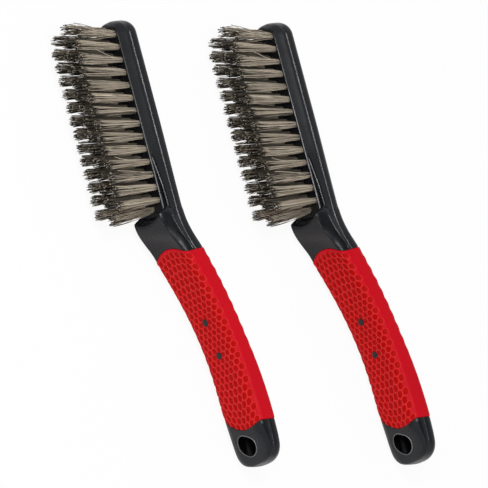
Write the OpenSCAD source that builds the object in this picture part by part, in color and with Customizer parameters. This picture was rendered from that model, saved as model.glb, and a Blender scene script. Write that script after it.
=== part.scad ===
/* [Set] */
// Distance between the two brushes, which lie side by side
brush_spacing = 109; // [95:0.5:200]
// How far the second brush lies towards its butt end
brush_stagger = 10.9; // [0:0.1:40]

/* [Head] */
// Tufts in each outer column; the middle column has one more
outer_tufts = 14; // [8:1:16]
// Distance from one tuft to the next along a column
tuft_pitch = 7; // [6:0.1:8]
// Distance between neighbouring columns at the pad's face
column_gap = 6.2; // [5.4:0.1:7]
// From the centre of an outer tuft hole to the pad's side
pad_edge = 2.6; // [2.4:0.1:3.2]
// From the last tuft to the end of the pad
pad_margin = 5.9; // [5:0.1:9]
// From the first tuft to the pad's end at the tip
pad_tip = 3; // [2.6:0.1:4]
// From the first tuft to the tip of the head
tip_margin = 4.6; // [4.2:0.1:12]
// How far the pad's face stands in front of the head
pad_rise = 0.4; // [0.2:0.1:1.5]
// Width of the head
head_w = 23.6; // [23:0.1:30]
// Depth of the head in front of its parting line
head_front = 6.2; // [5.5:0.1:8]
// How far the head falls back from the pad at the pad's end
head_fall = 2; // [0:0.1:3.5]
// Depth of the head behind its parting line
head_back = 7.5; // [5:0.1:9]
// How much thinner the head's back is at the pad's end
head_taper = 0.4; // [0:0.1:1.5]
// Length of the head's rounded tip
tip_round = 9; // [6:0.5:11]

/* [Tufts] */
// Diameter of a tuft hole
hole_d = 3.6; // [3:0.1:4]
// Depth of a tuft hole
hole_depth = 8; // [6:0.1:9]
// Gap between a tuft's root and its hole, all round
tuft_fit = 0.1; // [0.05:0.05:0.2]
// Length of wire outside the pad
trim_length = 31; // [15:0.5:40]
// Width of a tuft at its cut tips
tuft_tip_d = 6; // [4:0.1:6.6]
// Thickness of one strand, which stands for several wires
strand_d = 0.9; // [0.6:0.05:1]
// Lean of the first tufts towards the tip, in degrees
tip_lean = 6; // [0:0.5:9]
// Lean of the last tufts towards the neck, in degrees
heel_lean = 1.5; // [0:0.5:8]
// Lean of the outer columns away from the middle one, in degrees
splay_angle = 4.5; // [0:0.5:8]

/* [Anchors] */
// Thickness of an anchor plate
anchor_t = 0.5; // [0.3:0.1:0.8]
// How far an anchor bites into the wall on each side of its hole
anchor_bite = 0.3; // [0.2:0.05:0.5]
// Height of an anchor along its hole
anchor_h = 1.8; // [1:0.1:2.5]
// From the bottom of the hole to the anchor
anchor_lift = 1; // [0.5:0.1:2]

/* [Neck] */
// From the end of the head to where its neck begins to bend
neck_lead = -1; // [-2:0.5:10]
// Angle that the neck bends away from the tufts, in degrees
neck_bend = 22.5; // [10:0.5:28]
// Radius of the neck's bend
neck_radius = 47; // [40:1:120]
// Width of the neck
neck_w = 26; // [23:0.1:32]
// From the end of the pad to the crest of the neck's front
crest_place = 2; // [1.5:0.1:6]
// Depth of the crest in front of the parting line
crest_front = 12.4; // [7:0.1:14]
// From the pad's end up to where its sides begin to rise to the crest
neck_rise = 4; // [0:0.5:6]
// How far the crest's sides reach up beside the pad's end
crest_wrap = 5.5; // [0:0.5:7]
// Depth of the neck behind its parting line
neck_back = 8; // [5.5:0.1:10]

/* [Grip] */
// From the end of the pad to the top of the grip, along the neck
grip_start = 21.1; // [18:0.1:40]
// Length of the grip
grip_length = 93.1; // [80:0.1:130]
// Radius of the handle's curve through the grip and the butt
grip_radius = 251; // [180:1:500]
// Width of the grip
grip_w = 26.2; // [23:0.1:32]
// Depth in front of the parting line where the grip begins
waist_front = 7.4; // [6.5:0.1:10]
// Depth in front of the parting line at the middle of the grip
grip_front = 7.4; // [7:0.1:12]
// Depth of the grip behind its parting line
grip_back = 7.1; // [7:0.1:12]
// Thickness of the soft layer
grip_wall = 2; // [1.2:0.1:3]
// How far the soft layer stands proud of the plastic
grip_proud = 0.3; // [0:0.1:0.8]
// How far the grip's top edge slants down towards the back
grip_slant = 1.6; // [0:0.1:2.5]
// How far the middle of its top edge reaches towards the head in front
top_tongue = 5.1; // [0:0.1:6]
// How far the grip's lower edge slants down to one side of its middle
end_skew = 4; // [-4:0.5:4]
// How far the middle of its lower edge reaches towards the butt in front
grip_tongue = 6; // [0:0.1:8]
// Diameter of the core's two studs, which show in the grip
stud_d = 3.9; // [3:0.1:6]
// From the top of the grip to the first stud
stud_place = 37.5; // [25:0.5:45]
// Distance between the two studs
stud_gap = 19.4; // [12:0.1:24]

/* [Butt] */
// Length of the butt end below the grip
butt_length = 25.6; // [24:0.1:40]
// Width of the butt end
butt_w = 28; // [23:0.5:32]
// Depth in front of the parting line where the butt begins
butt_top = 8.2; // [6:0.1:11]
// Depth in front of the parting line at the butt's end
butt_front = 4.2; // [3:0.1:8]
// Depth of the butt behind its parting line
butt_back = 7.5; // [5.5:0.1:10]
// Length of the butt's rounded end
butt_round = 11; // [8:0.5:12]
// Diameter of the hang hole
hang_d = 10.5; // [6:0.1:11]
// From the centre of the hang hole to the end
hang_margin = 11.7; // [11:0.1:18]
// Lean of the hang hole's front mouth towards the end, in degrees
hang_lean = 13; // [0:1:20]

/* [Hidden] */
SIDES = ["left", "right"];
ROW_NAMES = [for (i = [1:outer_tufts + 1]) str(i < 10 ? "0" : "", i)];

black = "#2b2c2f";
red = "#c8171e";
steel = "#8f8778";
fine = 48;             // facets round a hole
strand_fine = 16;      // facets round a strand
gap = 0.05;            // between the moulded core and the soft layer
band = 2.5;            // half the height of the flat side band
corner_steps = 5;      // facets round a corner of the section
flat_inset = 2.6;      // from the side of the pad or neck to the flat of its front
soft_inset = 6.5;      // the same on the grip and the butt
back_flat = 0.35;      // share of the width that is flat at the back
corner_max = 0.85;     // greatest share of the width that is flat in front
tip_start = 0.15;      // how near the skin's end rings come to the ends
butt_power = 2.6;      // how square the butt's end is: 2 is an ellipse
wrap_place = 21;       // from the pad's end up to where the crest's sides begin to reach up
wrap_depth = 3;        // depth over which that reach sets in from the side band
edge_fade = 30;        // length over which the shape of the grip's edges fades out
top_limit = 0.3;       // greatest share of the neck that the top edge's middle takes
end_limit = 0.5;       // greatest share of the butt's full part that the lower edge's middle takes
hollow_reach = 4;      // how far the soft layer's hollow runs past its ends
sink = 1;              // how far a strand starts inside its root
far = 60;              // longer than any cut needs

pad_face = head_front + pad_rise;
pad_w = 2 * (column_gap + pad_edge);
column_length = outer_tufts * tuft_pitch;
first_tuft = pad_margin + column_length;
head_length = first_tuft + tip_margin;
head_mid = head_length / 2;
straight_end = head_length + neck_lead;
bend_end = straight_end + neck_radius * neck_bend * PI / 180;
crest = head_length + crest_place;
grip_top = head_length + grip_start;
grip_mid = grip_top + grip_length / 2;
grip_end = grip_top + grip_length;
total_length = grip_end + butt_length;
butt_full = total_length - butt_round;

// Where the parting line runs: [x, y, heading] at a distance from the tip
function spine(s) =
    s < straight_end ? [0, head_length - s, 0]
    : s < bend_end ? neck_arc((s - straight_end) / neck_radius * 180 / PI)
    : grip_arc((s - bend_end) / grip_radius * 180 / PI);
function neck_arc(a) =
    [neck_radius * (1 - cos(a)), -neck_lead - neck_radius * sin(a), a];
function grip_arc(t) =
    let (p = neck_arc(neck_bend), h = neck_bend - t)
    [p[0] + grip_radius * (cos(h) - cos(neck_bend)),
     p[1] - grip_radius * (sin(neck_bend) - sin(h)), h];

// Smooth change between values at set places: keys = [[place, value], ...]
function ease(t) = t <= 0 ? 0 : t >= 1 ? 1 : t * t * (3 - 2 * t);
function between(s, a, b) = a[1] + (b[1] - a[1]) * ease((s - a[0]) / (b[0] - a[0]));
function along(s, keys, i = 0) =
    i >= len(keys) - 1 ? keys[i][1]
    : s < keys[i + 1][0] ? between(s, keys[i], keys[i + 1])
    : along(s, keys, i + 1);

function half_w(s) = along(s, [
    [head_length - tuft_pitch, head_w / 2], [grip_top, neck_w / 2],
    [grip_mid, grip_w / 2], [grip_end, butt_w / 2]]);
function front(s) = along(s, [
    [head_mid, head_front], [head_length - neck_rise, head_front - head_fall], [crest, crest_front],
    [grip_top, waist_front], [grip_mid, grip_front], [grip_end, butt_top], [total_length, butt_front]]);
function back(s) = along(s, [
    [head_mid, head_back], [head_length, head_back - head_taper], [grip_top, neck_back],
    [grip_mid, grip_back], [butt_full, butt_back]]);
// Half the width of the flat front, and how round the corners beside it are
function flat_w(s) = along(s, [
    [head_length, pad_w / 2 - 0.3], [crest, neck_w / 2 - flat_inset], [grip_top, neck_w / 2 - flat_inset],
    [grip_mid, grip_w / 2 - soft_inset], [grip_end, butt_w / 2 - soft_inset]]);
function corner_power(s) = along(s, [[head_length, 1.3], [crest, 2]]);

// How the ends round off: 0 at an end, 1 once the brush has its full size
function rounded(t, power) = t <= 0 ? 1 : pow(max(0, 1 - pow(t, power)), 1 / power);
function end_scale(s) =
    s < tip_round ? rounded(1 - s / tip_round, 2) : rounded((s - butt_full) / butt_round, butt_power);

// One quarter of a rounded corner, as [outward, sideways] shares of 0 to 1
function corner(power) =
    [for (i = [0:corner_steps])
        let (a = 90 * i / corner_steps)
        [pow(cos(a), 2 / power), pow(sin(a), 2 / power)]];

// Half an outline, from the middle of the front round to the middle of the back
function half_outline(s, inset) =
    let (
        k = end_scale(s),
        b = half_w(s) * k - inset,
        f = front(s) * sqrt(k) - inset,
        r = back(s) * sqrt(k) - inset,
        zf = min(flat_w(s) * k, b * corner_max),
        zb = b * back_flat,
        h = min(band, f * 0.4, r * 0.4)
    )
    concat(
        [[-f, 0], [-f, zf / 2]],
        [for (c = corner(corner_power(s))) [-h - (f - h) * c[0], zf + (b - zf) * c[1]]],
        [for (i = [corner_steps:-1:0])
            let (c = corner(2)[i])
            [h + (r - h) * c[0], zb + (b - zb) * c[1]]],
        [[r, 0]]
    );
function outline(s, inset) =
    let (h = half_outline(s, inset))
    concat(h, [for (i = [len(h) - 2:-1:1]) [h[i][0], -h[i][1]]]);

// How far the grip's edges shift down at a point of the outline
function tongue(p, reach) = p[0] < 0 ? reach * max(0, 1 - pow(2 * p[1] / grip_w, 2)) : 0;
function top_shift(s, p) =
    (grip_slant * p[0] / grip_back - tongue(p, min(top_tongue, top_limit * (grip_top - crest))))
    * (1 - ease((s - grip_top) / edge_fade))
    * ease((s - crest) / (grip_top - crest));
function end_shift(s, p) =
    (end_skew * 2 * p[1] / grip_w + tongue(p, min(grip_tongue, end_limit * (butt_full - grip_end))))
    * ease((s - grip_end + edge_fade) / edge_fade)
    * (1 - ease((s - grip_end) / (butt_full - grip_end)));
function wrap_shift(s, p) =
    -crest_wrap * pow(2 * p[1] / neck_w, 2) * min(1, max(0, (-p[0] - band) / wrap_depth))
    * ease((s - head_length + wrap_place) / (wrap_place - neck_rise))
    * (1 - ease((s - crest) / (grip_top - crest)));
function ring(s, inset) =
    [for (p = outline(s, inset))
        let (q = spine(s + top_shift(s, p) + end_shift(s, p) + wrap_shift(s, p)))
        [q[0] + p[0] * cos(q[2]), q[1] + p[0] * sin(q[2]), p[1]]];

// A closed skin through rings of points, with flat ends
module loft(rings) {
    n = len(rings[0]);
    m = len(rings);
    points = [for (r = rings) each r];
    sides = [for (i = [0:m - 2], j = [0:n - 1])
        let (a = i * n + j, b = i * n + (j + 1) % n, c = a + n, d = b + n)
        each [[a, b, d], [a, d, c]]];
    fan = [for (j = [1:n - 2]) [n / 2, (n / 2 + j) % n, (n / 2 + j + 1) % n]];
    first = [for (f = fan) [f[0], f[2], f[1]]];
    last = [for (f = fan) [for (j = f) (m - 1) * n + j]];
    polyhedron(points = points, faces = concat(sides, first, last), convexity = 6);
}

// Places along the brush at which the skin has a ring
function spread(a, b, n) = [for (i = [0:n]) a + (b - a) * i / n];
function cap(length, n) = [for (i = [1:n]) length * (1 - cos(90 * i / n))];
tip_places = concat([tip_start], cap(tip_round, 5));
head_places = concat([head_mid], spread(head_length - wrap_place, head_length - tuft_pitch, 4));
neck_places = concat(spread(head_length - neck_rise, crest, 5), spread(crest + 3, grip_top, 4));
grip_places = spread(grip_top, grip_end, 17);
butt_places = concat([grip_end], spread(grip_end + 3, butt_full, 2));
end_places = [for (s = cap(butt_round, 6)) total_length - max(s, tip_start)];
bare_places = concat(butt_places, [for (i = [4:-1:0]) end_places[i]], [total_length - tip_start]);

body_rings = concat(
    [for (s = concat(tip_places, head_places, neck_places)) ring(s, 0)],
    [for (s = grip_places) ring(s, grip_wall)],
    [for (s = bare_places) ring(s, 0)]
);
soft_places = [for (s = grip_places) s == grip_top ? s + gap : s == grip_end ? s - gap : s];
soft_rings = [for (s = soft_places) ring(s, -grip_proud)];
hollow_places = concat([grip_top - hollow_reach], grip_places, [grip_end + hollow_reach]);
hollow_rings = [for (s = hollow_places) ring(s, grip_wall - gap)];

// The set's extent, which puts the middle of its underside at the origin
skin = [for (r = concat(body_rings, soft_rings)) each r];
half_z = max([for (p = skin) p[2]]);
left_end = -pad_face - trim_length;
right_end = brush_spacing + max([for (p = skin) p[0]]);
top_end = max([for (p = skin) p[1]]);
low_end = min([for (p = skin) p[1]]) - brush_stagger;
centre = [(left_end + right_end) / 2, (top_end + low_end) / 2];

module pad() {
    reach = first_tuft + pad_tip;
    translate([-pad_face, 0, 0])
        rotate([0, 90, 0])
            linear_extrude(pad_face) {
                for (y = [pad_w / 2, reach - pad_w / 2])
                    translate([0, y]) circle(d = pad_w, $fn = fine);
                translate([-pad_w / 2, pad_w / 2]) square([pad_w, reach - pad_w]);
            }
}

module hang_hole() {
    q = spine(total_length - hang_margin);
    translate([q[0], q[1], 0])
        rotate([0, 0, q[2] + hang_lean])
            rotate([0, 90, 0])
                cylinder(d = hang_d, h = far, center = true, $fn = fine);
}

module place_studs() {
    for (i = [0:1]) {
        q = spine(grip_top + stud_place + i * stud_gap);
        translate([q[0], q[1], 0])
            rotate([0, 0, q[2]])
                rotate([0, -90, 0])
                    children();
    }
}

// Tufts: a row has a middle tuft and the outer pair half a pitch below it
function middle_y(i) = first_tuft - (i - 1) * tuft_pitch;
function row_tufts(i) = concat(
    [[middle_y(i), 0]],
    i <= outer_tufts ? [for (side = [-1, 1]) [middle_y(i) - tuft_pitch / 2, side]] : []);
all_tufts = [for (i = [1:outer_tufts + 1]) each row_tufts(i)];
function lean_at(y) = tip_lean - (tip_lean + heel_lean) * (first_tuft - y) / column_length;

module at_tuft(t) {
    translate([-pad_face, t[0], t[1] * column_gap])
        rotate([0, 0, -lean_at(t[0])])
            rotate([0, -90 + t[1] * splay_angle, 0])
                children();
}

module tuft() {
    root_d = hole_d - 2 * tuft_fit;
    root_h = hole_depth - tuft_fit;
    ring_r = (root_d - strand_d) / 2;
    tip_r = (tuft_tip_d - strand_d) / 2;
    spread_angle = atan((tip_r - ring_r) / trim_length);
    reach = sink + 1.1 * trim_length;
    difference() {
        translate([0, 0, -root_h]) cylinder(d = root_d, h = root_h, $fn = fine);
        translate([-anchor_t / 2, -root_d, anchor_lift - hole_depth])
            cube([anchor_t, 2 * root_d, anchor_h]);
    }
    translate([0, 0, -sink]) cylinder(d = strand_d, h = reach, $fn = strand_fine);
    for (k = [0:5])
        rotate([0, 0, 60 * k])
            translate([ring_r, 0, 0])
                rotate([0, spread_angle, 0])
                    translate([0, 0, -sink]) cylinder(d = strand_d, h = reach, $fn = strand_fine);
}

module tufts(i) {
    color(steel)
        intersection() {
            for (t = row_tufts(i)) at_tuft(t) tuft();
            translate([left_end, -far, -far]) cube([far + trim_length, head_length + 2 * far, 2 * far]);
        }
}

module anchors() {
    w = hole_d + 2 * anchor_bite;
    color(steel)
        for (t = all_tufts)
            at_tuft(t)
                translate([-anchor_t / 2, -w / 2, anchor_lift - hole_depth])
                    cube([anchor_t, w, anchor_h]);
}

module body() {
    color(black)
        difference() {
            union() {
                loft(body_rings);
                pad();
                place_studs() cylinder(d = stud_d, h = grip_front + grip_proud, $fn = fine);
            }
            for (t = all_tufts)
                at_tuft(t)
                    translate([0, 0, -hole_depth])
                        cylinder(d = hole_d, h = hole_depth + sink, $fn = fine);
            hang_hole();
        }
}

module grip() {
    color(red)
        difference() {
            loft(soft_rings);
            loft(hollow_rings);
            place_studs() cylinder(d = stud_d + 2 * gap, h = far, $fn = fine);
        }
}

module place(side) {
    first = side == SIDES[0];
    translate([(first ? 0 : brush_spacing) - centre[0], (first ? 0 : -brush_stagger) - centre[1], half_z])
        children();
}

for (side = SIDES) {
    place(side) body();
    place(side) grip();
    place(side) anchors();
    for (i = [1:outer_tufts + 1])
        place(side) tufts(i);
}
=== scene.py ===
import math
import random
import bpy
import numpy as np
from mathutils import Matrix, Vector
from mathutils.bvhtree import BVHTree


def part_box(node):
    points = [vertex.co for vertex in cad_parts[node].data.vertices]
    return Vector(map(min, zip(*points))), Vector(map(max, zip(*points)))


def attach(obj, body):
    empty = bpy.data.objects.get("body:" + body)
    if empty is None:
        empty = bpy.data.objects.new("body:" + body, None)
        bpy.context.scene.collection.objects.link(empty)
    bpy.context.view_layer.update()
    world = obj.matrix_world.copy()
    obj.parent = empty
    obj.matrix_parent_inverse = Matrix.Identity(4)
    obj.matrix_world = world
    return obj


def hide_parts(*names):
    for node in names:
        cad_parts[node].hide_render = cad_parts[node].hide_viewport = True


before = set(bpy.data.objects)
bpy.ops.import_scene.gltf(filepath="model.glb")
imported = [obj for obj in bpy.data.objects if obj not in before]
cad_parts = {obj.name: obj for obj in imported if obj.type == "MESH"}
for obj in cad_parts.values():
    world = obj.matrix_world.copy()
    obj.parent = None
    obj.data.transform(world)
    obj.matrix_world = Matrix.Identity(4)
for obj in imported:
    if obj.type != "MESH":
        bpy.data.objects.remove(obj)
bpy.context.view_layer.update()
scene = bpy.context.scene
scene.view_settings.view_transform = "Standard"
print("frame loaded")

# Lengths are in millimetres until a mesh is made, and angles in degrees. A brush has its parting line
# on x = 0 in the head, +x towards its back, +y towards the tip of the head and z across. The wires
# point to -x. A place called s is a distance from the tip, along the parting line.
mm = 0.001
head = dict(
    tufts=14, pitch=7.0, columnGap=6.2,  # tufts in an outer column, with one more in the middle one
    padEdge=2.6, padMargin=5.9, padTip=3.0, padRise=0.4,  # the raised pad round the tufts
    tipMargin=4.6, tipRound=9.0, tipPower=2.0, width=23.6, front=6.2, fall=2.0, back=7.5, taper=0.4,
    trim=31.0)  # bare wire
neck = dict(
    lead=-1.0, bend=22.5, radius=47.0, width=26.0, front=12.4, rise=4.0, back=8.0, crestPlace=2.0,
    wrap=4.2, wrapPlace=21.0, wrapDepth=3.0)  # how the crest's sides reach up beside the pad
grip = dict(
    start=21.1, length=93.1, radius=251.0, width=26.2, waist=7.4, front=7.4, back=7.1, wall=2.0, proud=0.3,
    topSlant=1.6, topTongue=5.1, endSkew=4.0, endTongue=6.0, edgeFade=30.0)  # the shape of its two edges
butt = dict(
    length=25.6, width=28.0, top=8.2, front=4.2, back=7.5, round=11.0, power=2.6,
    hole=10.5, margin=11.7, lean=13.0)  # the hang hole's width, place and lean
tipStart = 0.15  # how near the skin comes to the brush's ends

padWidth = 2 * (head["columnGap"] + head["padEdge"])
padFace = head["front"] + head["padRise"]
firstTuft = head["padMargin"] + head["tufts"] * head["pitch"]
headLength = firstTuft + head["tipMargin"]
straightEnd = headLength + neck["lead"]
bendEnd = straightEnd + neck["radius"] * math.radians(neck["bend"])
crest = headLength + neck["crestPlace"]
gripTop = headLength + grip["start"]
gripMid = gripTop + grip["length"] / 2
gripEnd = gripTop + grip["length"]
totalLength = gripEnd + butt["length"]
buttFull = totalLength - butt["round"]
trimX = -padFace - head["trim"]  # where the wires end


def spine(s):  # x, y and heading of the parting line
    if s < straightEnd:
        return 0.0, headLength - s, 0.0
    bend = math.radians(neck["bend"])
    turn = min((s - straightEnd) / neck["radius"], bend)
    x = neck["radius"] * (1 - math.cos(turn))
    y = -neck["lead"] - neck["radius"] * math.sin(turn)
    if s < bendEnd:
        return x, y, turn
    heading = bend - (s - bendEnd) / grip["radius"]
    x += grip["radius"] * (math.cos(heading) - math.cos(bend))
    y -= grip["radius"] * (math.sin(bend) - math.sin(heading))
    return x, y, heading


def ease(t):
    t = min(max(t, 0.0), 1.0)
    return t * t * (3 - 2 * t)


def along(s, keys):  # an eased value between (place, value) keys
    for a, b in zip(keys, keys[1:]):
        if s < b[0]:
            return a[1] + (b[1] - a[1]) * ease((s - a[0]) / (b[0] - a[0]))
    return keys[-1][1]


def window(s, start, stop, fadeIn, fadeOut):  # rises from 0 at start and falls to 0 at stop
    return ease((s - start) / fadeIn) * (1 - ease((s - stop) / fadeOut + 1))


# Each section is half as wide as halfWidthKeys says, and reaches frontKeys and backKeys from the
# parting line. Its front flat is half as wide as flatKeys says; cornerKeys says how full the corners are.
corner = dict(padIn=0.3, neckIn=2.6, gripIn=6.5, headPower=1.3, power=2.0)
halfWidthKeys = [(headLength - head["pitch"], head["width"] / 2), (gripTop, neck["width"] / 2),
                 (gripMid, grip["width"] / 2), (gripEnd, butt["width"] / 2)]
frontKeys = [(headLength / 2, head["front"]), (headLength - neck["rise"], head["front"] - head["fall"]),
             (crest, neck["front"]), (gripTop, grip["waist"]), (gripMid, grip["front"]),
             (gripEnd, butt["top"]), (totalLength, butt["front"])]
backKeys = [(headLength / 2, head["back"]), (headLength, head["back"] - head["taper"]),
            (gripTop, neck["back"]), (gripMid, grip["back"]), (buttFull, butt["back"])]
flatKeys = [(headLength, padWidth / 2 - corner["padIn"]), (crest, neck["width"] / 2 - corner["neckIn"]),
            (gripTop, neck["width"] / 2 - corner["neckIn"]), (gripMid, grip["width"] / 2 - corner["gripIn"]),
            (gripEnd, butt["width"] / 2 - corner["gripIn"])]
cornerKeys = [(headLength, corner["headPower"]), (crest, corner["power"])]


def endScale(s):  # how far both ends are rounded in
    tip = s < head["tipRound"]
    t = 1 - s / head["tipRound"] if tip else (s - buttFull) / butt["round"]
    power = head["tipPower"] if tip else butt["power"]
    return 1.0 if t <= 0 else max(0.0, 1 - t ** power) ** (1 / power)


glintSlope = 0.58  # a narrow bevel of this slope shows as a bright line
band = 2.5  # half the height of the flat side band
edges = dict(
    frontMost=0.85, backFlat=0.35,  # shares of the half width
    rise=0.45,  # a bevel's width
    ledgeFrom=headLength - 38, ledgeTo=headLength + 0.5, ledgeFades=(9.0, 1.5), ledgeOut=1.5, ledgeGrow=25.0,
    lip=0.16, lipRamp=0.3, bevelLeast=0.1,  # the lip along the ledge
    foldFrom=crest - 1.0, foldTo=gripTop + 8, foldFade=3.0, foldStart=3.3, foldLength=14.0,
    bandMost=0.4,  # share of the front or back reach
    headStraight=0.85, headFrom=headLength - 6, headFade=8.0,  # the head's corners are nearly straight
    neckFade=6.0, chamfer=0.5, chamferShare=0.1, sidePower=1.5,  # the neck's are a chamfer and a leaning side
    creaseFade=3.0, creaseNear=44.0, creaseFar=75.0, creaseFrom=0.6, creaseTo=0.8,  # the butt's have a crease
    # the groove and the bead beside the parting line: place, further place and height in beads
    seam=((-1.0, 0, 0), (-0.72, 0, -0.6), (-0.72, 2.77, 1), (-0.05, 0, 1),
          (0.08, 0, -1), (0.34, 0, -1), (0.5, 0, 0)))


def frontCorner(s, outer, steps, f, hf, b, zf, ledge):  # from the front flat to the side band
    power = 2 / along(s, cornerKeys)
    straight = edges["headStraight"] * (1 - ease((s - edges["headFrom"]) / edges["headFade"]))
    boxy = outer * window(s, headLength, gripTop, edges["neckFade"], edges["neckFade"])
    crease = outer * ease((s - gripEnd) / edges["creaseFade"])
    near, far = (math.atan(math.tan(math.radians(v)) * (b - zf) / (f - hf))
                 for v in (edges["creaseNear"], edges["creaseFar"]))
    start, stop = edges["creaseFrom"], edges["creaseTo"]
    margin = (stop - start) / 4
    chamfer = min(edges["chamfer"], (b - zf) / 2)
    points = []
    for i in range(1, steps):
        t = i / steps
        a = math.pi / 2 * t
        onCrease = start + margin < t < stop - margin
        if onCrease:
            bent = (near + far) / 2
        elif t < stop - margin:
            bent = near * t / start
        else:
            bent = far + (math.pi / 2 - far) * (t - stop) / (1 - stop)
        a += (bent - a) * crease
        u, v = math.cos(a) ** power, abs(math.sin(a)) ** power
        u, v = u + ((1 - t) * (1 - 0.5 * ledge) - u) * straight, v + (t - v) * straight
        if onCrease:
            u, v = (w * (1 + crease * (1 / math.cos((far - near) / 2) - 1)) for w in (u, v))
        slope = 1 - max(0.0, t - edges["chamferShare"]) / (1 - edges["chamferShare"])
        first = chamfer / (b - zf)
        u += ((1 - chamfer / (f - hf)) * slope - u) * boxy
        v += (first + (1 - first) * (1 - slope ** edges["sidePower"]) - v) * boxy
        points.append((-hf - (f - hf) * u, zf + (b - zf) * v))
    return points


def outlinePoints(s, inset=0.0, bead=0.0, steps=10):  # half an outline, front middle to back middle
    k = endScale(s)
    b = along(s, halfWidthKeys) * k - inset
    f = along(s, frontKeys) * math.sqrt(k) - inset
    r = along(s, backKeys) * math.sqrt(k) - inset
    outer = inset == 0
    ledge = window(s, edges["ledgeFrom"], edges["ledgeTo"], *edges["ledgeFades"]) * outer
    fold = window(s, edges["foldFrom"], edges["foldTo"], edges["foldFade"], edges["foldFade"]) * outer
    ledgeOut = edges["ledgeOut"] * ease((s - edges["ledgeFrom"]) / edges["ledgeGrow"])
    ledgeOut *= 1 - ease((s - headLength) / 2)
    zf = min((along(s, flatKeys) + ledgeOut) * k, b * edges["frontMost"])
    zb = b * edges["backFlat"]
    h = min(band, f * edges["bandMost"], r * edges["bandMost"])
    hf = h + edges["foldStart"] * max(0.0, 1 - (s - crest) / edges["foldLength"]) * fold
    lip, rise = edges["lip"] * ledge, edges["rise"]
    bevel = rise * (edges["bevelLeast"] + (1 - edges["bevelLeast"]) * ledge)
    pts = [(-f, zf * i / 5) for i in range(5)]
    pts += [(-f, zf - edges["lipRamp"]), (-f - lip, zf - edges["lip"]), (-f - lip, zf),
            (-f - lip + bevel, zf + glintSlope * bevel)]
    pts += frontCorner(s, outer, steps, f, hf, b, zf, ledge)
    foldTop = b + glintSlope * rise * fold
    pts += [(-hf - 0.02, b), (-hf - 0.01 + rise * fold, foldTop), (-hf + rise + 0.05, foldTop),
            (-hf + rise + 0.15, b)]
    scale = min(1.0, h / 2)
    pts += [(place * scale + further * bead, b + height * bead) for place, further, height in edges["seam"]]
    turns = [math.pi / 2 * i / steps for i in range(steps, -1, -1)]
    pts += [(h + (r - h) * abs(math.cos(a)), zb + (b - zb) * math.sin(a)) for a in turns]
    pts += [(r, zb * i / 4) for i in (3, 2, 1, 0)]
    return pts


def tongue(p, reach):
    return reach * max(0.0, 1 - (2 * p[1] / grip["width"]) ** 2) if p[0] < 0 else 0.0


def topShift(s, p):  # how far the shape of the grip's upper edge moves a point down the brush
    shift = grip["topSlant"] * p[0] / grip["back"] - tongue(p, grip["topTongue"])
    return shift * (1 - ease((s - gripTop) / grip["edgeFade"])) * ease((s - crest) / (gripTop - crest))


def endShift(s, p):  # the same for its lower edge
    shift = grip["endSkew"] * 2 * p[1] / grip["width"] + tongue(p, grip["endTongue"])
    shift *= ease((s - gripEnd + grip["edgeFade"]) / grip["edgeFade"])
    return shift * (1 - ease((s - gripEnd) / (buttFull - gripEnd)))


def wrapShift(s, p):  # the crest's sides reach up beside the pad's end
    shift = neck["wrap"] * (2 * p[1] / neck["width"]) ** 2
    shift *= min(1.0, max(0.0, (-p[0] - band) / neck["wrapDepth"]))
    rise = ease((s - headLength + neck["wrapPlace"]) / (neck["wrapPlace"] - neck["rise"]))
    return -shift * rise * (1 - ease((s - crest) / (gripTop - crest)))


def placed(s, p):  # a point of an outline, on the brush
    x, y, heading = spine(s + topShift(s, p) + endShift(s, p) + wrapShift(s, p))
    return x + p[0] * math.cos(heading), y + p[0] * math.sin(heading), p[1]


def mirrored(half):
    return half + [(p[0], -p[1]) for p in half[-2:0:-1]]


def boxMm(node):
    low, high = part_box(node)
    return low / mm, high / mm


wiresBox, bodyBox = boxMm("left_tufts_01"), boxMm("left_body")
offset = Vector((wiresBox[0].x - trimX, bodyBox[1].y - headLength + tipStart,
                 (bodyBox[0].z + bodyBox[1].z) / 2))
pairShift = (boxMm("right_body")[1] - bodyBox[1]) * mm


def makeMesh(name, points, faces, smooth=40):  # edges sharper than this angle stay sharp
    mesh = bpy.data.meshes.new(name)
    mesh.from_pydata([(Vector(p) + offset) * mm for p in points], [], faces)
    mesh.validate()
    mesh.shade_smooth()
    if smooth < 180:
        mesh.set_sharp_from_angle(angle=math.radians(smooth))
    return mesh


def joinLists(*parts):
    points, faces = [], []
    for pts, fcs in parts:
        faces += [tuple(i + len(points) for i in f) for f in fcs]
        points += pts
    return points, faces


def meshLists(mesh):
    return [tuple(v.co / mm - offset) for v in mesh.vertices], [tuple(p.vertices) for p in mesh.polygons]


def addLayer(mesh, name, values):  # read by a material
    mesh.attributes.new(name, "FLOAT", "POINT").data.foreach_set("value", values)


def loftFaces(rings, count, start=0, closed=True):
    faces = []
    for i in range(rings - 1):
        for j in range(count):
            a, b = start + i * count + j, start + i * count + (j + 1) % count
            faces.append((a, b, b + count, a + count))
    if closed:
        faces.append(tuple(start + j for j in reversed(range(count))))
        faces.append(tuple(start + (rings - 1) * count + j for j in range(count)))
    return faces


def ringAround(centre, first, second, radius, count):
    return [tuple(centre + (first * math.cos(a) + second * math.sin(a)) * radius)
            for a in (2 * math.pi * k / count for k in range(count))]


def spread(a, b, step):  # even places, without the last
    n = max(1, round((b - a) / step))
    return [a + (b - a) * i / n for i in range(n)]


def capPlaces(length, n=14):  # places that crowd towards a rounded end
    return [max(tipStart, length * (1 - math.cos(math.pi / 2 * i / n))) for i in range(n)]


def addNode(tree, kind, *values):
    node = tree.nodes.new("ShaderNode" + kind)
    for key, value in values:
        node.inputs[key].default_value = value
    return node


def addNoise(tree, place, scale, detail):
    noise = addNode(tree, "TexNoise", ("Scale", scale), ("Detail", detail))
    tree.links.new(place, noise.inputs["Vector"])
    return noise.outputs["Fac"]


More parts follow.
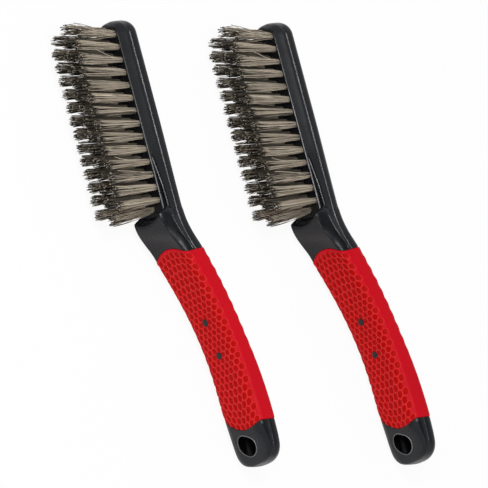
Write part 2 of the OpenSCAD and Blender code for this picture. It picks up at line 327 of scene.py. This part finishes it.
def addRange(tree, value, low, high, fromLow=0.3, fromHigh=0.7):
    limits = ("From Min", fromLow), ("From Max", fromHigh), ("To Min", low), ("To Max", high)
    node = addNode(tree, "MapRange", *limits)
    tree.links.new(value, node.inputs["Value"])
    return node.outputs["Result"]


def addMix(tree, factor, first, second):
    node = tree.nodes.new("ShaderNodeMix")
    node.data_type = "RGBA"
    tree.links.new(factor, node.inputs["Factor"])
    for key, colour in (("A", first), ("B", second)):
        if isinstance(colour, tuple):
            node.inputs[key].default_value = (*colour, 1)
        else:
            tree.links.new(colour, node.inputs[key])
    return node.outputs["Result"]


view = dict(
    right=(0.73045, -0.25467, 0.63375), up=(0.09585, 0.95692, 0.27402),
    centre=(29.647, -22.966, 22.49),  # where it looks, from the left brush's own origin
    width=0.2560,  # metres across the view at its centre
    lens=978.2, sensor=36.0, clip=(0.1, 100.0))


def makeCamera():
    right = Vector(view["right"]).normalized()
    back = right.cross(Vector(view["up"])).normalized()
    up = back.cross(right)
    data = bpy.data.cameras.new("camera")
    data.lens, data.sensor_width = view["lens"], view["sensor"]
    data.clip_start, data.clip_end = view["clip"]
    distance = view["width"] * view["lens"] / view["sensor"]
    camera = bpy.data.objects.new("camera", data)
    turn = Matrix((right, up, back)).transposed().to_4x4()
    camera.matrix_world = Matrix.Translation((Vector(view["centre"]) + offset) * mm + back * distance) @ turn
    scene.collection.objects.link(camera)
    scene.camera = camera


light = dict(
    world=0.62, dark=0.1, darkSide=(0.15, 0.14, 0.97), darkFrom=0.75, darkTo=0.97,  # a dark patch overhead
    key=2.6, keyPlace=(-0.75, 0.15, 0.95), keySize=0.5,
    glints=((-0.28, 0.25, 0.95, 2.6), (-0.27, -0.12, 0.97, 1.8)), glintSize=0.16)  # place and energy
floorLook = dict(paper=(0.9, 0.9, 0.9, 1), glow=0.93, half=12.0, drop=0.0004)


def makeLamp(name, place, energy, size, glossy):
    data = bpy.data.lights.new(name, "AREA")
    data.energy = energy
    data.size = size
    lamp = bpy.data.objects.new(name, data)
    lamp.location = place
    lamp.rotation_euler = Vector(place).to_track_quat("Z", "Y").to_euler()
    lamp.visible_glossy = glossy
    scene.collection.objects.link(lamp)


def mixForCamera(tree, output, share, around, seen):  # the camera sees the second shader, by that share
    camera, mix = addNode(tree, "Math", (1, share)), addNode(tree, "MixShader")
    camera.operation = "MULTIPLY"
    tree.links.new(addNode(tree, "LightPath").outputs["Is Camera Ray"], camera.inputs[0])
    for socket, node in zip(mix.inputs, (camera, around, seen)):
        tree.links.new(node.outputs[0], socket)
    tree.links.new(mix.outputs[0], addNode(tree, output).inputs[0])


def makeStudio():
    world = bpy.data.worlds.new("studio")
    world.use_nodes = True
    scene.world = world
    tree = world.node_tree
    tree.nodes.clear()
    facing = addNode(tree, "VectorMath", (1, Vector(light["darkSide"]).normalized()))
    facing.operation = "DOT_PRODUCT"
    tree.links.new(addNode(tree, "TexCoord").outputs["Generated"], facing.inputs[0])
    strength = addRange(tree, facing.outputs["Value"], light["world"], light["dark"],
                        light["darkFrom"], light["darkTo"])
    soft, white = (addNode(tree, "Background", ("Color", (1, 1, 1, 1))) for _ in range(2))
    tree.links.new(strength, soft.inputs["Strength"])
    mixForCamera(tree, "OutputWorld", 1.0, soft, white)
    makeLamp("keyLamp", light["keyPlace"], light["key"], light["keySize"], False)
    for i, glint in enumerate(light["glints"]):
        makeLamp("glintLamp%d" % i, glint[:3], glint[3], light["glintSize"], True)


def makeFloor():
    mat = bpy.data.materials.new("studioFloor")
    mat.use_nodes = True
    tree = mat.node_tree
    tree.nodes.clear()
    paper, glow = addNode(tree, "BsdfDiffuse", ("Color", floorLook["paper"])), addNode(tree, "Emission")
    mixForCamera(tree, "OutputMaterial", floorLook["glow"], paper, glow)
    mesh = bpy.data.meshes.new("floor")
    r = floorLook["half"]
    mesh.from_pydata([(-r, -r, 0), (r, -r, 0), (r, r, 0), (-r, r, 0)], [], [(0, 1, 2, 3)])
    mesh.materials.append(mat)
    floor = bpy.data.objects.new("floor", mesh)
    floor.location.z = -floorLook["drop"]
    scene.collection.objects.link(floor)


makeCamera()
makeStudio()
makeFloor()
print("camera, lamps and floor made")

# Clouds and their roughness are noise by scale and detail. A layer's colour lies where the mesh's
# layer of that name says so. Grain is a bump by scale, depth and strength.
plastic = dict(
    dark=(0.0032, 0.0038, 0.0056), pale=(0.0066, 0.0076, 0.0108), clouds=(60, 3),
    # the paintedGlint layer is a painted highlight, a paler grey along the pad's rim and the hole's lip
    layers=dict(paintedGlint=(0.17, 0.17, 0.18)),
    rough=(0.24, 0.34), roughClouds=(180, 4), mirror=0.38, metal=0.0, grain=(2600, 0.00002, 0.6))
rubber = dict(
    dark=(0.525, 0.002, 0.010), pale=(0.567, 0.00216, 0.0108), clouds=(45, 3),
    # the rib layer is a painted highlight along the raised ribs; the cell layer is painted shade in the cells
    # and in the wells round the studs
    layers=dict(rib=(0.72, 0.022, 0.024), cell=(0.42, 0.0, 0.0)),
    rough=(0.42, 0.58), roughClouds=(220, 3), mirror=0.1, metal=0.0, grain=(3400, 0.00003, 0.5))
wireSteel = dict(
    # the pale colour is the wires' own tone; the layer darkens it as painted shade between the wires and on
    # the middle column
    dark=(0.035, 0.030, 0.025), layers=dict(toneAndPaintedShade=(0.80, 0.70, 0.56)),
    rough=(0.28, 0.5), roughClouds=(900, 3), mirror=0.5, metal=0.55, grain=(5000, 0.00001, 0.5))
anchorSteel = dict(
    dark=(0.35, 0.34, 0.32), pale=(0.55, 0.54, 0.52), clouds=(700, 3), layers={},
    rough=(0.3, 0.5), roughClouds=(1500, 3), mirror=0.5, metal=1.0)


def makeMaterial(name, look):
    mat = bpy.data.materials.new(name)
    mat.use_nodes = True
    tree = mat.node_tree
    shader = tree.nodes["Principled BSDF"]
    place = addNode(tree, "TexCoord").outputs["Object"]
    skin = look["dark"]
    if "pale" in look:
        skin = addMix(tree, addRange(tree, addNoise(tree, place, *look["clouds"]), 0, 1), skin, look["pale"])
    for layer, colour in look["layers"].items():
        attribute = addNode(tree, "Attribute")
        attribute.attribute_name = layer
        skin = addMix(tree, attribute.outputs["Fac"], skin, colour)
    tree.links.new(skin, shader.inputs["Base Color"])
    rough = addRange(tree, addNoise(tree, place, *look["roughClouds"]), *look["rough"])
    tree.links.new(rough, shader.inputs["Roughness"])
    shader.inputs["Specular IOR Level"].default_value = look["mirror"]
    shader.inputs["Metallic"].default_value = look["metal"]
    if "grain" in look:
        scale, depth, strength = look["grain"]
        bump = addNode(tree, "Bump", ("Distance", depth), ("Strength", strength))
        tree.links.new(addNoise(tree, place, scale, 2), bump.inputs["Height"])
        tree.links.new(bump.outputs["Normal"], shader.inputs["Normal"])
    return mat


plasticMat, rubberMat = makeMaterial("mouldedPlastic", plastic), makeMaterial("softRubber", rubber)
wireMat, anchorMat = makeMaterial("wireSteel", wireSteel), makeMaterial("anchorSteel", anchorSteel)
print("materials made")

# The moulded body is the head, the neck, the core under the grip, and the butt.
bodyLook = dict(
    bead=0.16, beadFrom=2.0, beadFade=6.0, buttBead=0.25, buttFrom=totalLength - 8,
    step=1.0, coreStep=3.0, smooth=24,
    shoulder=((0.45, 0.0), (0.15, 0.1), (0.02, 0.4), (0.0, grip["wall"])))  # away from the grip, and inwards


def bodyRings():  # places and insets
    shoulder = bodyLook["shoulder"]
    places = [(s, 0.0) for s in capPlaces(head["tipRound"])]
    places += [(s, 0.0) for s in spread(head["tipRound"], gripTop - shoulder[0][0], bodyLook["step"])]
    places += [(gripTop - away, inset) for away, inset in shoulder]
    places += [(s, grip["wall"]) for s in spread(gripTop + 1, gripEnd - 1, bodyLook["coreStep"])]
    places += [(gripEnd + away, inset) for away, inset in reversed(shoulder)]
    places += [(s, 0.0) for s in spread(gripEnd + 1, buttFull, bodyLook["step"])]
    places += [(totalLength - s, 0.0) for s in reversed(capPlaces(butt["round"]))]
    return places


def makeBody():
    points = []
    places = bodyRings()
    for s, inset in places:
        bead = bodyLook["bead"] * ease((s - bodyLook["beadFrom"]) / bodyLook["beadFade"]) * (inset == 0)
        if s >= gripTop:
            bead *= bodyLook["buttBead"] * (1 - ease((s - bodyLook["buttFrom"]) / bodyLook["beadFade"]))
        points += [placed(s, p) for p in mirrored(outlinePoints(s, inset, bead))]
    return makeMesh("body", points, loftFaces(len(places), len(points) // len(places)))


skinMesh = makeBody()
print("body skin", len(skinMesh.polygons), "faces")

padLook = dict(
    square=0.5, steps=24, base=-1.0,
    rim=0.52, rimAbove=0.18, rimFrom=34.0, rimFade=14.0,  # the bevel round it is narrower towards the tip
    # the painted highlight along the pad's rim: its place from the pad's face, half its width, the least z it
    # lies on, and how much it fades towards the tip
    rimTop=0.03, rimIn=0.2, paintedGlintPlace=0.26, paintedGlintHalf=0.25, paintedGlintZ=8.0, paintedGlintLoss=0.8)


def stadium(width, low, high):  # round at the top end and squarer at the low end
    r = width / 2
    turns = [math.pi * i / padLook["steps"] for i in range(padLook["steps"] + 1)]
    top = [(high - r + r * math.sin(a), r * math.cos(a)) for a in turns]
    bottom = [(low + r - r * abs(math.sin(a)) ** padLook["square"],
               -math.copysign(r * abs(math.cos(a)) ** padLook["square"], math.cos(a))) for a in turns]
    return top + bottom


def rimFade(y):
    return ease((y - padLook["rimFrom"]) / padLook["rimFade"])


def makePad():
    points = []
    padEnd = firstTuft + head["padTip"]
    for level in range(4):
        for y, z in stadium(padWidth, 0.0, padEnd):
            rim = padLook["rim"] + (padLook["rimAbove"] - padLook["rim"]) * rimFade(y)
            x, inset = ((padLook["base"], 0.0), (-padFace + rim, 0.0),
                        (-padFace + padLook["rimTop"], glintSlope * rim),
                        (-padFace, glintSlope * rim + padLook["rimIn"]))[level]
            middle = min(max(y, padWidth / 2), padEnd - padWidth / 2)
            away = Vector((y - middle, z))
            away *= 1 - inset / away.length
            points.append((x, middle + away.x, away.y))
    return makeMesh("pad", points, loftFaces(4, len(points) // 4), smooth=bodyLook["smooth"])


tuftLook = dict(
    hole=3.6, holeSides=20, mouth=((-5.0, 0.0), (-0.3, 0.0), (0.02, 0.3), (1.0, 0.4)),  # height, and wider by
    tipLean=6.0, heelLean=1.5, splay=4.5, tipFade=12.0, heelFade=5.0,
    wires=62, wireWidth=0.34, wireSides=6, rootRadius=1.5, rootDepth=1.5, tipRadius=3.25, seed=7,
    ragged=0.7, tipRagged=5.0, tipShort=1.5, heelRagged=1.5, heelDroop=2.6,  # the end tufts are looser
    bow=0.45, tipLoose=1.2, heelLoose=1.6, wave=0.35,
    # middleShade is painted shade on the middle column; cutGlints are painted highlights on some cut ends
    tones=(0.5, 1.0), darkTone=0.16, darkShare=0.14, middleShade=0.45, cutGlints=(0.5, 1.2), cutGlintShare=0.3,
    darkInside=0.66, darkEdge=0.93, darkFade=0.07, darkDepth=0.9,  # where the painted shade between the wires begins
    trimMargin=0.08, topMargin=0.25, strayTone=1.1,
    # bent single wires: row, column, middle and tip
    strays=((0, 1, (-22.7, 103.5, 8.7), (-35.3, 108.6, 9.5)), (2, 1, (-14.5, 87.9, 8.7), (-25.6, 93.2, 9.5)),
            (10, 1, (-23.1, 32.3, 8.7), (-31.7, 34.6, 9.5)), (11, 1, (-18.4, 25.3, 8.7), (-32.2, 27.0, 9.5))))


def tuftRows():  # place and column of each row's tufts
    rows = []
    for i in range(head["tufts"] + 1):
        y = firstTuft - i * head["pitch"]
        row = [(y, 0)]
        if i < head["tufts"]:
            row += [(y - head["pitch"] / 2, side) for side in (-1, 1)]
        rows.append(row)
    return rows


def tuftFrame(y, side):  # root, outward direction and two directions across it
    column = head["tufts"] * head["pitch"]
    lean = tuftLook["tipLean"] - (tuftLook["tipLean"] + tuftLook["heelLean"]) * (firstTuft - y) / column
    lean, splay = math.radians(lean), math.radians(tuftLook["splay"] * side)
    out = Vector((-math.cos(splay) * math.cos(lean), math.cos(splay) * math.sin(lean), math.sin(splay)))
    across = out.cross(Vector((0, 0, 1))).normalized()
    return Vector((-padFace, y, side * head["columnGap"])), out, across, out.cross(across).normalized()


def holeCutters():
    points, faces = [], []
    count = tuftLook["holeSides"]
    for y, side in (t for row in tuftRows() for t in row):
        root, out, first, second = tuftFrame(y, side)
        start = len(points)
        for height, wider in tuftLook["mouth"]:
            points += ringAround(root + out * height, first, second, tuftLook["hole"] / 2 + wider, count)
        faces += loftFaces(len(tuftLook["mouth"]), count, start)
    return points, faces


holeLook = dict(
    sides=64, edge=0.18, edgeSteps=5, over=4.0,
    flare=2.2, flareTurn=1.0,  # the front mouth opens wider on one side
    # paintedGlintLevels is the painted highlight on each ring of the hole's lip
    lip=0.3, lipWidth=0.28, lipFoot=-0.4, lipSlopeFoot=-0.1, paintedGlintLevels=(0.0, 0.8, 1.0, 0.6, 0.0, 0.0))


def hangHole(skin):  # the cutter and the thin lip round the front mouth
    x, y, heading = spine(totalLength - butt["margin"])
    a = heading + math.radians(butt["lean"])
    axis, first = Vector((math.cos(a), math.sin(a), 0)), Vector((-math.sin(a), math.cos(a), 0))
    middle, count, r = Vector((x, y, 0)), holeLook["sides"], butt["hole"] / 2
    tree = BVHTree.FromPolygons(*meshLists(skin))
    w, out = holeLook["lipWidth"], holeLook["lip"]
    foot, slopeFoot = holeLook["lipFoot"], holeLook["lipSlopeFoot"]
    lipProfile = ((foot, 0.02), (out, 0.02), (out, w),
                  (slopeFoot, w + glintSlope * (out - slopeFoot)), (foot, w + 0.2))
    turns = [math.pi / 2 * i / holeLook["edgeSteps"] for i in range(holeLook["edgeSteps"] + 1)]
    rings, lips = [], []
    for sign in (-1, 1):
        levels, lip = [[] for _ in range(len(turns) + 2)], [[] for _ in lipProfile]
        for k in range(count):
            turn = 2 * math.pi * k / count
            side = first * math.cos(turn) + Vector((0, 0, 1)) * math.sin(turn)
            flare = max(0.0, math.cos(turn + holeLook["flareTurn"])) ** 2 if sign == -1 else 0.0
            e = holeLook["edge"] + holeLook["flare"] * flare

            def spot(height, radius):
                return middle + side * radius + axis * sign * height

            def deepAt(radius):  # the skin's height above the middle
                return (tree.ray_cast(spot(40, radius), axis * -sign)[0] - middle).dot(axis) * sign

            deep = deepAt(r + e * 0.6)
            profile = [(deep - e - e * 0.6, r)]
            profile += [(deep - e + e * math.sin(b), r + e - e * math.cos(b)) for b in turns]
            profile += [(deep + holeLook["over"], r + e + 0.6)]
            for level, point in zip(levels, profile):
                level.append(tuple(spot(*point)))
            top = deepAt(r + e + 0.2)
            for level, (height, radius) in zip(lip, lipProfile):
                level.append(tuple(spot(top + height, r + e + radius)))
        rings += levels[::-1] if sign == -1 else levels
        lips = lips or lip
    cutter = [p for ring in rings for p in ring], loftFaces(len(rings), count)
    lipPoints = [p for ring in lips + lips[:1] for p in ring]
    return cutter, (lipPoints, loftFaces(len(lips) + 1, count, closed=False))


studLook = dict(
    place=37.5, gap=19.4, sides=32,  # and the profile's radii and heights
    profile=((1.95, 4.0), (1.95, 7.15), (1.85, 7.35), (1.6, 7.46), (0.8, 7.5), (0.1, 7.5)))


def studParts():
    points, faces = [], []
    for i in range(2):
        x, y, heading = spine(gripTop + studLook["place"] + i * studLook["gap"])
        out = Vector((-math.cos(heading), -math.sin(heading), 0))
        across, up = Vector((-math.sin(heading), math.cos(heading), 0)), Vector((0, 0, 1))
        start, sides = len(points), studLook["sides"]
        for radius, height in studLook["profile"]:
            points += ringAround(Vector((x, y, 0)) + out * height, up, across, radius, sides)
        faces += loftFaces(len(studLook["profile"]), sides, start)
    return points, faces


def cut(mesh, cutterMesh):
    body, tool = bpy.data.objects.new("cutBody", mesh), bpy.data.objects.new("cutTool", cutterMesh)
    for obj in (body, tool):
        scene.collection.objects.link(obj)
    boolean = body.modifiers.new("cut", "BOOLEAN")
    boolean.operation, boolean.solver, boolean.object = "DIFFERENCE", "EXACT", tool
    result = bpy.data.meshes.new_from_object(body.evaluated_get(bpy.context.evaluated_depsgraph_get()))
    for obj in (body, tool):
        bpy.data.objects.remove(obj)
    return result


def finishBody():
    holes = holeCutters()
    hang, lip = hangHole(skinMesh)
    skin = cut(skinMesh, makeMesh("cutter", *joinLists(holes, hang)))
    pad = cut(makePad(), makeMesh("cutter", *holes))
    parts = [meshLists(skin), meshLists(pad), lip, studParts()]
    mesh = makeMesh("mouldedBody", *joinLists(*parts), smooth=bodyLook["smooth"])
    paintedGlint = [0.0] * len(parts[0][0])  # painted highlight: the pad's rim and the hole's lip are painted paler along their edges, as thin lines of light
    for x, y, z in parts[1][0]:
        onRim = abs(x + padFace - padLook["paintedGlintPlace"]) < padLook["paintedGlintHalf"] and abs(z) > padLook["paintedGlintZ"]
        paintedGlint.append(onRim * (1 - padLook["paintedGlintLoss"] * rimFade(y)))
    paintedGlint += [level for level in holeLook["paintedGlintLevels"] for _ in range(holeLook["sides"])]
    paintedGlint += [0.0] * len(parts[3][0])
    addLayer(mesh, "paintedGlint", paintedGlint)
    mesh.materials.append(plasticMat)
    return mesh


bodyMesh = finishBody()
print("holes, pad and studs made", len(bodyMesh.polygons), "faces")

gripLook = dict(
    step=0.33, around=130, cell=3.65, rib=0.34, slope=0.4, depth=0.55, ribOver=0.1,  # the honeycomb
    across=13.0, topGap=0.4, endGap=0.6,  # where it stops
    scallop=6.8, scallopDepth=0.45, scallopWidth=8.0, scallopFades=(6.0, 50.0, 20.0),
    studRing=2.3, studDepth=0.6, soft=0.3,
    hem=((0.08, 0.9), (0.05, 0.25), (0.1, 0.0), (0.22, -0.18)), hemLength=0.5)  # into the grip, and inwards


def gripHalf(s, inset):
    pts = np.array(outlinePoints(s, inset, steps=16))
    lengths = np.concatenate([[0], np.cumsum(np.hypot(*np.diff(pts, axis=0).T))])
    share = np.linspace(0, lengths[-1], gripLook["around"])
    return np.interp(share, lengths, pts[:, 0]), np.interp(share, lengths, pts[:, 1]), share


def honeycomb(across, place):  # distance from the nearest cell's middle, and where that is
    cell = gripLook["cell"]
    rowGap = cell * math.sqrt(3) / 2
    best = np.full(across.shape, 99.0)
    centreAcross, centrePlace = np.zeros(across.shape), np.zeros(across.shape)
    for shift in (-1, 0, 1):
        row = np.floor(place / rowGap + 0.5) + shift
        odd = np.mod(row, 2) * 0.5
        column = np.floor(across / cell - odd + 0.5) + odd
        du, dv = across - column * cell, (place - row * rowGap) * 0.8660
        reach = np.maximum(np.abs(du), np.maximum(np.abs(du / 2 + dv), np.abs(du / 2 - dv)))
        nearer = reach < best
        best = np.where(nearer, reach, best)
        centreAcross = np.where(nearer, column * cell, centreAcross)
        centrePlace = np.where(nearer, row * rowGap, centrePlace)
    return best, centreAcross, centrePlace


def smoothStep(value):  # ease for arrays
    value = np.clip(value, 0, 1)
    return value * value * (3 - 2 * value)


def makeGrip():
    look, hem = gripLook, gripLook["hem"]
    places = [(gripTop + into, inset) for into, inset in hem]
    first, last = gripTop + look["hemLength"], gripEnd - look["hemLength"]
    places += [(s, -grip["proud"]) for s in spread(first, last, look["step"])]
    places += [(gripEnd - into, inset) for into, inset in reversed(hem)]
    fadeIn, fadeFrom, fadeOut = look["scallopFades"]
    points, paintedCellShade, paintedRibHighlight = [], [], []
    for s, inset in places:
        ax, az, share = gripHalf(s, inset)
        bx, bz, _ = gripHalf(s, inset + 1)
        down = np.full(share.shape, s - gripTop)
        reach, cellAcross, cellPlace = honeycomb(share, down)
        inside = (np.abs(cellAcross) < look["across"])
        inside &= (cellPlace > look["topGap"]) & (cellPlace < grip["length"] - look["endGap"])
        cell = smoothStep((look["cell"] / 2 - look["rib"] - reach) / look["slope"] + 0.5) * inside
        depth = cell * look["depth"]
        for i in range(2):  # a well round each stud
            ring = np.hypot(share, down - studLook["place"] - i * studLook["gap"])
            well = smoothStep((look["studRing"] - ring) / look["soft"] + 0.5)
            depth = np.maximum(depth * (1 - well), well * look["studDepth"])
            # the well is painted dark like a cell, as painted shade
            cell = np.maximum(cell * (1 - well), well)
        wave = 0.5 - 0.5 * math.cos(2 * math.pi * (s - gripTop) / look["scallop"])
        fade = ease((s - gripTop) / fadeIn) * (1 - ease((s - gripTop - fadeFrom) / fadeOut))
        depth = depth + smoothStep(ax / look["scallopWidth"]) * wave * fade * look["scallopDepth"]
        half = list(zip(ax + (bx - ax) * depth, az + (bz - az) * depth))
        points += [placed(s, p) for p in mirrored(half)]
        # rib marks where the painted highlight lies along the ribs, and cell marks the painted shade
        rib = smoothStep((look["cell"] / 2 + look["ribOver"] - reach) / look["soft"] + 0.5) * inside
        for values, layer in ((cell, paintedCellShade), (rib, paintedRibHighlight)):
            layer += [*values, *values[-2:0:-1]]
    mesh = makeMesh("softGrip", points, loftFaces(len(places), len(points) // len(places)), smooth=180)
    addLayer(mesh, "cell", paintedCellShade)
    addLayer(mesh, "rib", paintedRibHighlight)
    mesh.materials.append(rubberMat)
    return mesh


gripMesh = makeGrip()
print("grip made", len(gripMesh.polygons), "faces")

goldenTurn = 2.39996  # radians from one wire to the next, which spreads them evenly
wireLevels = (0.0, 0.2, 0.4, 0.6, 0.7, 0.78, 0.86, 0.92, 0.96, 1.0)  # shares of a wire's length
wireTop = wiresBox[1].y - offset.y - tuftLook["topMargin"]  # no wire passes the CAD's first tuft


def wireTonesWithPaintedShade(rnd, outside, toneAndShade):  # pale along the outside of a tuft; painted shade between the wires darkens them towards their cut ends
    look = tuftLook
    start = look["darkEdge"] if outside else look["darkInside"]
    tonesWithPaintedShade = [toneAndShade * (1 - look["darkDepth"] * ease((t - start) / look["darkFade"])) for t in wireLevels]
    # painted highlight: some cut ends are painted bright, as specks of light
    if rnd.random() < look["cutGlintShare"]:
        tonesWithPaintedShade[-1] = rnd.uniform(*look["cutGlints"])
    return tonesWithPaintedShade


def makeTufts(number, row):
    look = tuftLook
    rnd = random.Random(look["seed"] * 100 + number)
    points, faces, tonesWithPaintedShade = [], [], []

    def addWire(spots, tones):
        start, sides = len(points), look["wireSides"]
        for spot, toneAndShade in zip(spots, tones):
            spot.x, spot.y = max(spot.x, trimX + look["trimMargin"]), min(spot.y, wireTop)
            points.extend(ringAround(spot, first, second, look["wireWidth"] / 2, sides))
            tonesWithPaintedShade.extend([toneAndShade] * sides)
        faces.extend(loftFaces(len(spots), sides, start))

    for y, side in row:
        root, out, first, second = tuftFrame(y, side)
        atTip = 1 - ease((firstTuft - y) / look["tipFade"])
        atHeel = 1 - ease((y - head["padMargin"]) / look["heelFade"])
        loose = look["bow"] * (1 + look["tipLoose"] * atTip + look["heelLoose"] * atHeel)
        raggedMost = look["ragged"] + look["tipRagged"] * atTip + look["heelRagged"] * atHeel
        for k in range(look["wires"]):
            share = math.sqrt((k + 0.5) / look["wires"])
            turn = k * goldenTurn + rnd.uniform(-0.3, 0.3)
            way = first * math.cos(turn) + second * math.sin(turn)
            start = root + way * share * look["rootRadius"] - out * look["rootDepth"]
            turn += rnd.gauss(0, 0.25)
            spreadOut = look["tipRadius"] * min(1.0, share * rnd.uniform(0.85, 1.08))
            way = first * math.cos(turn) + second * math.sin(turn)
            end = root + out * head["trim"] + way * spreadOut - Vector((0, look["heelDroop"] * atHeel, 0))
            ragged = rnd.uniform(0, raggedMost) + look["tipShort"] * atTip
            line = (end - start) * ((trimX + ragged - start.x) / (end.x - start.x))
            bow = (first * rnd.gauss(0, 1) + second * rnd.gauss(0, 1)) * loose
            wave = (first * rnd.gauss(0, 1) + second * rnd.gauss(0, 1)) * loose * look["wave"]
            toneAndShade = look["darkTone"] if rnd.random() < look["darkShare"] else rnd.uniform(*look["tones"])
            # painted shade on the middle column's wires, which sit between the outer columns
            toneAndShade *= 1.0 if side or number in (0, head["tufts"]) else look["middleShade"]
            spots = [start + line * t + bow * math.sin(math.pi * t) * t + wave * math.sin(2 * math.pi * t)
                     for t in wireLevels]
            addWire(spots, wireTonesWithPaintedShade(rnd, way.z > 0.25 and share > 0.5, toneAndShade))
        for strayRow, straySide, middle, tip in look["strays"]:
            if (strayRow, straySide) == (number, side):
                a, b, c = root - out * look["rootDepth"], Vector(middle), Vector(tip)
                spots = [a * (1 - t) ** 2 + (b * 4 - a - c) * t * (1 - t) + c * t * t for t in wireLevels]
                addWire(spots, [look["strayTone"]] * len(spots))
    mesh = makeMesh("wires", points, faces, smooth=60)
    addLayer(mesh, "toneAndPaintedShade", tonesWithPaintedShade)
    mesh.materials.append(wireMat)
    return mesh


tuftMeshes = [makeTufts(i, row) for i, row in enumerate(tuftRows())]
print("tufts made", sum(len(m.polygons) for m in tuftMeshes), "faces")


def addPiece(name, mesh, body, nodes, shift):
    piece = bpy.data.objects.new(name, mesh)
    piece.location = shift
    scene.collection.objects.link(piece)
    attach(piece, body)
    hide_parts(*nodes)


for side, shift in (("left", (0, 0, 0)), ("right", pairShift)):
    brush = side + "_brush"
    addPiece(side + "_mouldedBody", bodyMesh, brush, [side + "_body"], shift)
    addPiece(side + "_softGrip", gripMesh, brush, [side + "_grip"], shift)
    for i, mesh in enumerate(tuftMeshes):
        names = ["%s_%s_%02d" % (side, kind, i + 1) for kind in ("wires", "tufts")]
        addPiece(names[0], mesh, brush, names[1:], shift)
    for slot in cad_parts[side + "_anchors"].material_slots:
        slot.material = anchorMat
print("brushes placed")
